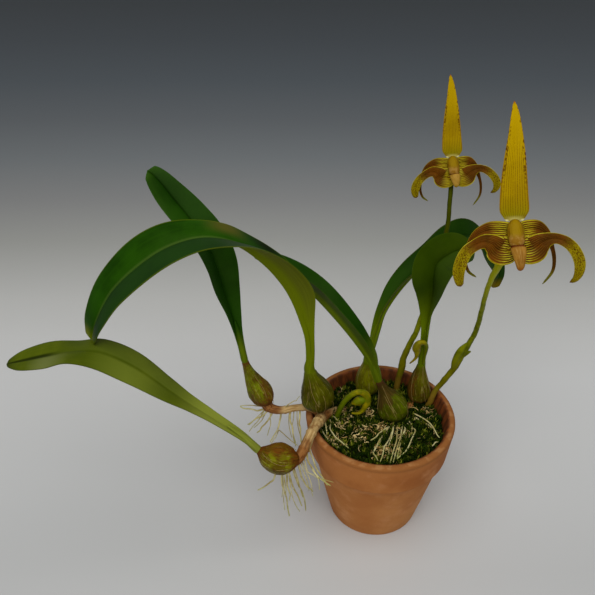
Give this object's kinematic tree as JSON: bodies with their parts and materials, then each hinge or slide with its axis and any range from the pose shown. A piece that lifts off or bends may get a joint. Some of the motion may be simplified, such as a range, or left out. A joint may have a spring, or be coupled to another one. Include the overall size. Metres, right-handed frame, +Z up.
{
  "type": "potted orchid plant",
  "caption": "Creeping orchid in a clay pot, with pseudobulbs, arching leaves, hanging roots and upright hooded yellow blooms on stalks.",
  "frame": {"origin": "centre of the pot's foot, on the surface it stands on", "axes": "+Z up, +X to the right of the pictured side, towards the blooms, +Y to the back"},
  "size_m": [0.3404, 0.168, 0.3369],
  "materials": {
    "clay": "unglazed fired clay, matt",
    "moss": "bark mix under green moss, matt",
    "rhizome": "dry woody skin, matt",
    "bulb": "ribbed living skin, satin",
    "leaf": "leathery leaf, glossy",
    "stalk": "green stem, satin",
    "petal": "fleshy petal, satin",
    "column": "waxy flesh, satin",
    "lip": "waxy flesh, satin",
    "bud": "soft bud, satin"
  },
  "bodies": {
    "root": {"pot": "clay", "potting_mix": "moss", "rhizome": "rhizome", "pseudobulb_back": "bulb", "pseudobulb_back_left": "bulb", "pseudobulb_centre": "bulb", "pseudobulb_front_left": "bulb", "pseudobulb_right": "bulb", "pseudobulb_rim": "bulb", "leaf_back": "leaf", "leaf_back_left": "leaf", "leaf_centre": "leaf", "leaf_front_left": "leaf", "leaf_right": "leaf", "leaf_rim": "leaf", "stalk_back": "stalk", "stalk_front": "stalk", "bud_low": "bud", "bud_right": "bud", "flower_back_sepal_upright": "petal", "flower_back_sepal_left": "petal", "flower_back_sepal_right": "petal", "flower_back_petal_left": "petal", "flower_back_petal_right": "petal", "flower_back_column": "column", "flower_back_lip": "lip", "flower_front_sepal_upright": "petal", "flower_front_sepal_left": "petal", "flower_front_sepal_right": "petal", "flower_front_petal_left": "petal", "flower_front_petal_right": "petal", "flower_front_column": "column", "flower_front_lip": "lip"}
  },
  "joints": []
}
